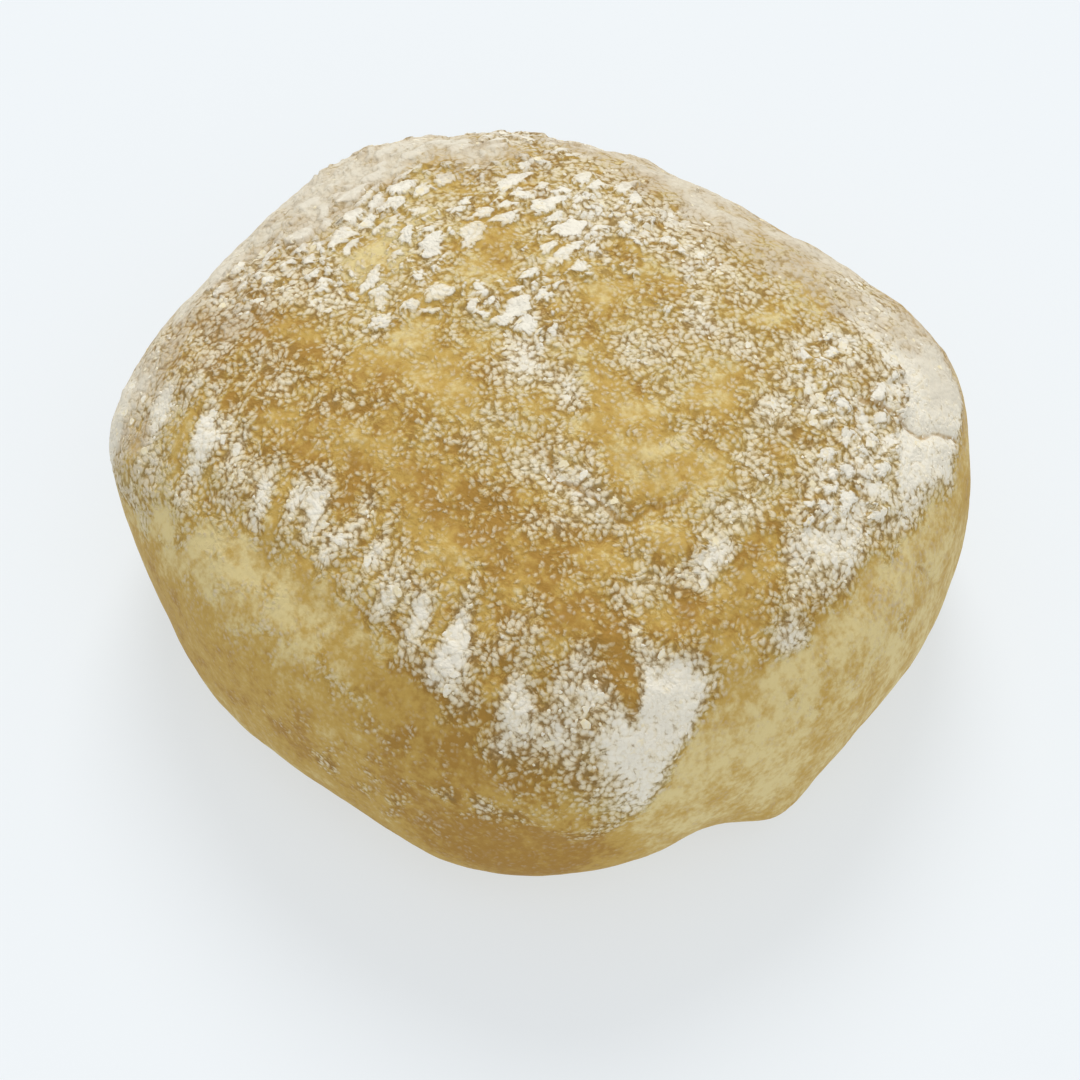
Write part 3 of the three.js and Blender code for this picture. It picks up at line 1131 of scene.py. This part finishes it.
@dataclass
class Crust:
    """The whole outside of the roll as one closed mesh, finest where the flour is.

    Sizes are in millimetres and angles in degrees.
    """

    dough: Dough
    dusting: Dusting
    cells_across: int = 110
    fine_rows: int = 17
    plain_rows: int = 38
    top_angle: float = 45.0
    fine_angle: float = 24.0
    foot_angle: float = -75.0
    swell_size: float = 24.0
    swell_depth: float = 0.55
    skin_thickness: float = 0.45
    crag_size: float = 5.2
    crag_depth: float = 0.55
    flank_crag_depth: float = 0.15
    large_plate: float = 3.0
    small_plate: float = 1.6
    plate_depth: float = 0.40
    plate_tilt: float = 0.18
    plate_stretch: float = 1.6
    plate_wander: float = 0.7
    plate_wander_size: float = 2.2
    plate_rim: float = 1.3
    least_plate_flour: float = 0.2
    least_flaky: float = 0.18
    plate_start: float = 1.02
    flaky_help: float = 0.58
    own_help: float = 0.6
    bared_in_cracks: float = 0.42
    bared_round_plates: float = 0.06
    crumb_size: float = 0.76
    crumb_wander: float = 0.5
    crumb_wander_size: float = 2.1
    lump_size: float = 1.5
    lump_depth: float = 0.20
    points: np.ndarray = field(default=None, init=False)
    flour: np.ndarray = field(default=None, init=False)
    caked: np.ndarray = field(default=None, init=False)
    triangles: np.ndarray = field(default=None, init=False)

    def rough_box(self) -> bmesh.types.BMesh:
        """Cuts a cube into the cells that become the crust.

        Returns:
            The cut cube, from -1 to 1 each way, closed by one flat face below.
        """
        bm = bmesh.new()
        bmesh.ops.create_cube(bm, size=2.0)
        below = [f for f in bm.faces if f.normal.z < -0.5]
        bmesh.ops.delete(bm, geom=below, context="FACES_ONLY")
        upright = [e for e in bm.edges if abs(e.verts[0].co.z - e.verts[1].co.z) > 1.0]
        rows = self.fine_rows + self.plain_rows
        bmesh.ops.subdivide_edges(bm, edges=upright, cuts=rows - 1, use_grid_fill=True)
        level = [e for e in bm.edges if abs(e.verts[0].co.z - e.verts[1].co.z) < 1e-6]
        bmesh.ops.subdivide_edges(bm, edges=level, cuts=self.cells_across - 1, use_grid_fill=True)
        lowest = 1.0 - 2.0 * self.fine_rows / rows - 1e-4
        fine = [e for e in bm.edges if min(v.co.z for v in e.verts) > lowest]
        bmesh.ops.subdivide_edges(bm, edges=fine, cuts=1, use_grid_fill=True)
        open_edges = [e for e in bm.edges if e.is_boundary]
        bmesh.ops.holes_fill(bm, edges=open_edges, sides=0)
        bmesh.ops.recalc_face_normals(bm, faces=bm.faces[:])
        return bm

    def directions(self, cube: np.ndarray) -> np.ndarray:
        """Turns places on the cut cube into directions from the heart of the roll.

        Args:
            cube: Places on the cube, from -1 to 1 each way.

        Returns:
            One direction for each place.
        """
        rows = self.fine_rows + self.plain_rows
        down = (1.0 - cube[:, 2]) / 2.0
        marks = [0.0, self.fine_rows / rows, 1.0]
        angle = np.interp(down, marks, [self.top_angle, self.fine_angle, self.foot_angle])
        sideways = np.tan(cube[:, :2] * math.pi / 4.0)
        return np.column_stack([sideways, np.tan(np.radians(angle))])

    def relief(self, points: np.ndarray, plate: np.ndarray, lean: np.ndarray) -> np.ndarray:
        """Adds up the unevenness of dough, skin, crags and caked flour.

        Args:
            points: Places on the smooth dough, in millimetres.
            plate: How far inside a plate of dried flour each is, from 0 to 1.
            lean: How far that plate's tilt lifts it.

        Returns:
            How far each place stands out, in millimetres.
        """
        cover = self.dough.skin_cover(points)
        depth = self.flank_crag_depth + (self.crag_depth - self.flank_crag_depth) * cover
        height = self.swell_depth * perlin(points, self.swell_size)
        height += depth * perlin(points + 11.0, self.crag_size)
        height += self.skin_thickness * (cover - 0.5)
        height += smooth_step(plate, 0.1, 0.45) * (self.plate_depth + lean)
        lumps = perlin(points + 23.0, self.lump_size)
        height += self.lump_depth * lumps * (0.25 + 0.75 * cover)
        return height

    def crumb_place(self, points: np.ndarray) -> np.ndarray:
        """Gives each place in crumb widths, bent a little so that no two crumbs are alike."""
        bent = points + self.crumb_wander * drift(points, self.crumb_wander_size)
        return bent / self.crumb_size

    def plates(self, points: np.ndarray, flour: np.ndarray) -> tuple[np.ndarray, np.ndarray, np.ndarray]:
        """Breaks the thickest flour into flat plates, largest towards the -X rim and longest along Y.

        Args:
            points: Places in millimetres.
            flour: The share of flour at each.

        Returns:
            The plates, from 0 in the cracks between them to 1 well inside, how far each
            plate's own tilt lifts the place, in millimetres, and how much flour has gone from
            the cracks and from round the plates.
        """
        plate, lean, gone = (np.zeros(len(points)) for _ in range(3))
        flaky = self.dusting.flaky(points)
        size = self.small_plate + (self.large_plate - self.small_plate) * np.round(flaky * 3.0) / 3.0
        wander = self.plate_wander * drift(points + 5.0, self.plate_wander_size)
        shrunk = (1.0, 1.0 / self.plate_stretch, 1.0)
        for i in np.flatnonzero((flour > self.least_plate_flour) & (flaky > self.least_flaky)):
            place = Vector((points[i] + wander[i]) * shrunk / size[i])
            distances, centres = noise.voronoi(place)
            own = noise.noise(centres[0] * 7.3)
            wanted = self.plate_start - self.flaky_help * flaky[i] + self.own_help * own
            there = min(max((flour[i] - wanted) / 0.12 + 0.5, 0.0), 1.0)
            gap = (distances[1] - distances[0]) * size[i]
            plate[i] = there * min(gap / self.plate_rim, 1.0)
            gone[i] = self.bared_in_cracks * (there - plate[i])
            gone[i] += self.bared_round_plates * flaky[i] * (1.0 - there)
            slope = Vector((noise.noise(centres[0] * 3.1), noise.noise(centres[0] * 5.7), 0.0))
            lean[i] = self.plate_tilt * size[i] * slope.dot(place - centres[0])
        return plate, lean, gone

    def build(self, material: bpy.types.Material) -> bpy.types.Object:
        """Makes the crust in place of the plain solid.

        Args:
            material: The baked crust.

        Returns:
            The piece.
        """
        bm = self.rough_box()
        mesh = bpy.data.meshes.new("crust")
        bm.to_mesh(mesh)
        bm.free()
        cube = np.empty(len(mesh.vertices) * 3)
        mesh.vertices.foreach_get("co", cube)
        points, normals = self.dough.surface(self.directions(cube.reshape(-1, 3)))
        points = points + normals * self.dough.humps(points)[:, None]
        flour = self.dusting.flour(points)
        plate, lean, gone = self.plates(points, flour)
        flour = np.clip(flour - gone, 0.0, 1.0)
        crack, depth = self.dusting.cracks(points)
        height = self.relief(points, plate, lean) - depth
        points = points + normals * height[:, None]
        points[:, 2] = np.maximum(points[:, 2], 0.0)
        store(mesh, "flour", flour)
        store(mesh, "plate", plate)
        store(mesh, "crack", crack)
        veil = self.dusting.veil(points)
        store(mesh, "veil", veil)
        # the browning carries the painted shade low on the front corner too
        store(mesh, "toast_and_shade", self.dusting.toast_and_shade(points))
        store_vectors(mesh, "crumb_place", self.crumb_place(points))
        points = self.fit(points)
        self.points = points
        self.flour = flour
        self.caked = self.dough.skin_cover(points) * (1.0 - 0.9 * veil)
        mesh.vertices.foreach_set("co", (points * MM).ravel())
        mesh.polygons.foreach_set("use_smooth", np.ones(len(mesh.polygons), bool))
        mesh.update()
        mesh.calc_loop_triangles()
        corners = np.empty(len(mesh.loop_triangles) * 3, np.int32)
        mesh.loop_triangles.foreach_get("vertices", corners)
        self.triangles = corners.reshape(-1, 3)
        piece = add_piece(mesh, material)
        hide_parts(ROLL_NODE)
        return piece

    def fit(self, points: np.ndarray) -> np.ndarray:
        """Centres the crust in the box of the solid it replaces and keeps it within.

        Args:
            points: The crust's places, in millimetres.

        Returns:
            The same places, moved and no larger than that box.
        """
        low, high = (np.array(corner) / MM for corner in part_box(ROLL_NODE))
        middle = (points.max(axis=0) + points.min(axis=0)) / 2.0
        reach = points.max(axis=0) - points.min(axis=0)
        scale = np.minimum((high - low) / reach, 1.0)
        moved = (points - middle) * scale + (high + low) / 2.0
        moved[:, 2] = points[:, 2] * scale[2] + low[2]
        return moved


class CrumbShape(Enum):
    """The forms that loose flour takes."""

    GRAIN = "grain"
    FLAKE = "flake"


def crumb_mould(shape: CrumbShape) -> tuple[np.ndarray, list[list[int]]]:
    """Models one crumb, two units wide and two high, round the origin.

    Args:
        shape: A round grain, or a flake with a flat top and a rounded rim.

    Returns:
        Its corners and the corner numbers of each face.
    """
    bm = bmesh.new()
    if shape is CrumbShape.GRAIN:
        bmesh.ops.create_icosphere(bm, subdivisions=1, radius=1.0)
    else:
        bmesh.ops.create_circle(bm, cap_ends=True, segments=9, radius=0.9)
        bmesh.ops.translate(bm, verts=bm.verts[:], vec=(0.0, 0.0, -1.0))
        wall = bmesh.ops.extrude_face_region(bm, geom=bm.faces[:])
        rim = [v for v in wall["geom"] if isinstance(v, bmesh.types.BMVert)]
        bmesh.ops.translate(bm, verts=rim, vec=(0.0, 0.0, 1.3))
        bmesh.ops.scale(bm, verts=rim, vec=(1.1, 1.1, 1.0))
        top = [f for f in bm.faces if all(v in rim for v in f.verts)]
        bmesh.ops.inset_region(bm, faces=top, thickness=0.3, depth=0.0)
        bmesh.ops.translate(bm, verts=list({v for f in top for v in f.verts}), vec=(0.0, 0.0, 0.6))
        bmesh.ops.recalc_face_normals(bm, faces=bm.faces[:])
    corners = np.array([v.co[:] for v in bm.verts])
    faces = [[v.index for v in f.verts] for f in bm.faces]
    bm.free()
    return corners, faces


@dataclass(frozen=True)
class LooseFlour:
    """Crumbs of one kind, in millimetres, strewn over the crust where flour lies and sunk a little into it."""

    name: str
    shape: CrumbShape
    count: int
    smallest: float
    largest: float
    height: float
    sink: float
    least_flour: float
    full_flour: float
    seed: int
    apart: float = 0.8
    tries_each: int = 6
    mostly_small: float = 2.2
    uneven: float = 0.22
    most_uneven: float = 1.6
    stretch: tuple[float, float] = (0.75, 1.25)
    tilt: float = 0.10
    tone: float = 0.18

    def strew(self, crust: Crust) -> tuple[np.ndarray, np.ndarray, np.ndarray, np.ndarray]:
        """Chooses where the crumbs lie.

        Args:
            crust: The finished crust.

        Returns:
            Their places, the normals there, the share of flour there and their half widths.
        """
        rng = np.random.default_rng(self.seed)
        corners = crust.triangles
        sides = crust.points[corners]
        across = np.cross(sides[:, 1] - sides[:, 0], sides[:, 2] - sides[:, 0])
        area = np.linalg.norm(across, axis=1) / 2.0
        share = crust.flour[corners].mean(axis=1)
        wanted = crust.caked[corners].mean(axis=1) * smooth_step(share, self.least_flour, self.full_flour)
        chance = np.cumsum(area * wanted)
        tries = self.count * self.tries_each
        picked = np.searchsorted(chance, rng.random(tries) * chance[-1])
        first, second = rng.random(tries), rng.random(tries)
        flip = first + second > 1.0
        first[flip], second[flip] = 1.0 - first[flip], 1.0 - second[flip]
        three = sides[picked]
        places = three[:, 0] + first[:, None] * (three[:, 1] - three[:, 0])
        places += second[:, None] * (three[:, 2] - three[:, 0])
        size = self.smallest + (self.largest - self.smallest) * rng.random(tries) ** self.mostly_small
        order = np.argsort(-size)
        kept = self.spread_out(places[order], size[order])
        chosen = order[kept]
        upward = across[picked[chosen]]
        upward /= np.linalg.norm(upward, axis=1, keepdims=True)
        return places[chosen], upward, share[picked[chosen]], size[chosen] / 2.0

    def spread_out(self, places: np.ndarray, size: np.ndarray) -> list[int]:
        """Keeps crumbs that don't lie on one already kept.

        Args:
            places: Where the crumbs would lie, largest first.
            size: How wide each is.

        Returns:
            The numbers of those kept, as many as there should be.
        """
        cell = self.largest
        rooms: dict[tuple[int, ...], list[int]] = {}
        kept: list[int] = []
        for i, place in enumerate(places):
            room = tuple(int(c) for c in np.floor(place / cell))
            near = [
                j
                for step in product((-1, 0, 1), repeat=3)
                for j in rooms.get(tuple(c + s for c, s in zip(room, step)), ())
            ]
            if near:
                gaps = np.linalg.norm(places[near] - place, axis=1)
                if np.any(gaps < self.apart * (size[near] + size[i]) / 2.0):
                    continue
            rooms.setdefault(room, []).append(i)
            kept.append(i)
            if len(kept) == self.count:
                break
        return kept

    def build(self, crust: Crust, material: bpy.types.Material) -> bpy.types.Object:
        """Makes all the crumbs as one mesh.

        Args:
            crust: The finished crust that they lie on.
            material: The loose flour.

        Returns:
            The piece.
        """
        places, upward, share, reach = self.strew(crust)
        rng = np.random.default_rng(self.seed + 1)
        corners, faces = crumb_mould(self.shape)
        count, each = len(places), len(corners)
        rough = rng.standard_normal((count, each, 1)).clip(-self.most_uneven, self.most_uneven)
        rough = 1.0 + self.uneven * rough
        body = corners[None] * rough
        stretch = rng.uniform(*self.stretch, count)
        rise = self.height * reach**0.5
        body = body * np.stack([reach * stretch, reach / stretch, rise], axis=1)[:, None]
        spin = rng.uniform(0.0, 2.0 * math.pi, count)
        helper = np.where(np.abs(upward[:, :1]) > 0.8, [[0.0, 1.0, 0.0]], [[1.0, 0.0, 0.0]])
        side = np.cross(upward, helper)
        side /= np.linalg.norm(side, axis=1, keepdims=True)
        front = np.cross(upward, side)
        right = side * np.cos(spin)[:, None] + front * np.sin(spin)[:, None]
        ahead = np.cross(upward, right)
        tilt = rng.normal(0.0, self.tilt, (count, 2))
        lean = upward + right * tilt[:, :1] + ahead * tilt[:, 1:]
        world = body[..., :1] * right[:, None] + body[..., 1:2] * ahead[:, None]
        world += body[..., 2:] * lean[:, None]
        lift = rise * (1.0 - 2.0 * self.sink)
        world += (places + upward * lift[:, None])[:, None]
        mesh = bpy.data.meshes.new(self.name)
        numbered = [[corner + i * each for corner in face] for i in range(count) for face in faces]
        mesh.from_pydata((world.reshape(-1, 3) * MM).tolist(), [], numbered)
        tone = np.clip(share + rng.normal(0.0, self.tone, count), 0.0, 1.0)
        store(mesh, "flour", np.repeat(tone, each))
        return add_piece(mesh, material)


LOOSE_FLOUR = (
    LooseFlour(
        name="flour_flakes",
        shape=CrumbShape.FLAKE,
        count=130,
        smallest=0.6,
        largest=1.3,
        height=0.10,
        sink=0.7,
        least_flour=0.45,
        full_flour=0.9,
        seed=11,
    ),
    LooseFlour(
        name="flour_grains",
        shape=CrumbShape.GRAIN,
        count=800,
        smallest=0.22,
        largest=0.6,
        height=0.20,
        sink=0.55,
        least_flour=0.4,
        full_flour=0.8,
        seed=23,
    ),
)


@dataclass(frozen=True)
class FarLight:
    """A far soft light, with its azimuth from +X, its height and the width of its disc in degrees."""

    name: str
    azimuth: float
    elevation: float
    strength: float
    softness: float

    def build(self) -> None:
        """Hangs the light in the scene."""
        light = bpy.data.lights.new(self.name, "SUN")
        light.energy = self.strength
        light.angle = math.radians(self.softness)
        lamp = bpy.data.objects.new(self.name, light)
        lamp.rotation_euler = (math.radians(90.0 - self.elevation), 0.0, math.radians(self.azimuth + 90.0))
        bpy.context.scene.collection.objects.link(lamp)


@dataclass(frozen=True)
class Studio:
    """The pale floor, the soft lights and the camera, in metres and degrees."""

    floor_reach: float = 3.0
    floor_tint: Tint = Tint(0.30, 0.315, 0.325)
    floor_glow: Tint = Tint(0.93, 0.97, 1.0)
    floor_glow_strength: float = 0.585
    floor_roughness: float = 0.9
    floor_specular: float = 0.1
    lights: tuple[FarLight, ...] = (
        FarLight("key_light", azimuth=132.0, elevation=48.0, strength=1.7, softness=28.0),
        FarLight("fill_light", azimuth=-20.0, elevation=50.0, strength=0.42, softness=60.0),
    )
    air_tint: Tint = Tint(0.97, 0.985, 1.0)
    air_strength: float = 0.62
    camera_azimuth: float = 42.0
    camera_elevation: float = 55.0
    camera_distance: float = 0.42
    camera_aim: Place3 = (5.4 * MM, -6.1 * MM, 20.0 * MM)
    nearest_seen: float = 0.01
    sensor_width: float = 36.0
    focal_pixels: float = 3192.0
    photo_width: float = 1080.0

    def floor(self) -> None:
        """Lays a wide plain floor."""
        bm = bmesh.new()
        bmesh.ops.create_grid(bm, x_segments=1, y_segments=1, size=self.floor_reach)
        mesh = bpy.data.meshes.new("floor")
        bm.to_mesh(mesh)
        bm.free()
        material, _, shader = new_material("lit_table")
        shader.inputs["Base Color"].default_value = self.floor_tint.rgba()
        shader.inputs["Roughness"].default_value = self.floor_roughness
        shader.inputs["Specular IOR Level"].default_value = self.floor_specular
        shader.inputs["Emission Color"].default_value = self.floor_glow.rgba()
        shader.inputs["Emission Strength"].default_value = self.floor_glow_strength
        mesh.materials.append(material)
        floor = bpy.data.objects.new("floor", mesh)
        bpy.context.scene.collection.objects.link(floor)

    def air(self) -> None:
        """Fills the room with even light."""
        world = bpy.data.worlds.new("studio_air")
        world.use_nodes = True
        background = world.node_tree.nodes["Background"]
        background.inputs["Color"].default_value = self.air_tint.rgba()
        background.inputs["Strength"].default_value = self.air_strength
        bpy.context.scene.world = world

    def camera(self) -> None:
        """Places the camera at the photograph's viewing angle."""
        lens = bpy.data.cameras.new("camera")
        lens.sensor_width = self.sensor_width
        lens.lens = self.sensor_width * self.focal_pixels / self.photo_width
        lens.clip_start = self.nearest_seen
        camera = bpy.data.objects.new("camera", lens)
        turn, lift = math.radians(self.camera_azimuth), math.radians(self.camera_elevation)
        back = Vector((math.sin(turn) * math.cos(lift), -math.cos(turn) * math.cos(lift), math.sin(lift)))
        camera.location = Vector(self.camera_aim) + back * self.camera_distance
        camera.rotation_euler = back.to_track_quat("Z", "Y").to_euler()
        bpy.context.scene.collection.objects.link(camera)
        bpy.context.scene.camera = camera

    def build(self) -> None:
        """Sets up the whole studio."""
        bpy.context.scene.view_settings.view_transform = "Standard"
        self.floor()
        for light in self.lights:
            light.build()
        self.air()
        self.camera()


def main() -> None:
    """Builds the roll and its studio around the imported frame."""
    logging.basicConfig(level=logging.INFO, format="%(name)s: %(message)s")
    noise.seed_set(DRIFT_SEED)
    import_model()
    dough = Dough()
    crust = Crust(dough, Dusting(dough))
    grain = CrumblyGrain()
    crust.build(BakedCrust(CrustFinish(), grain).material)
    caked = flour_material(FlourFinish(), grain)
    for flour in LOOSE_FLOUR:
        flour.build(crust, caked)
    Studio().build()


if __name__ == "__main__":
    main()
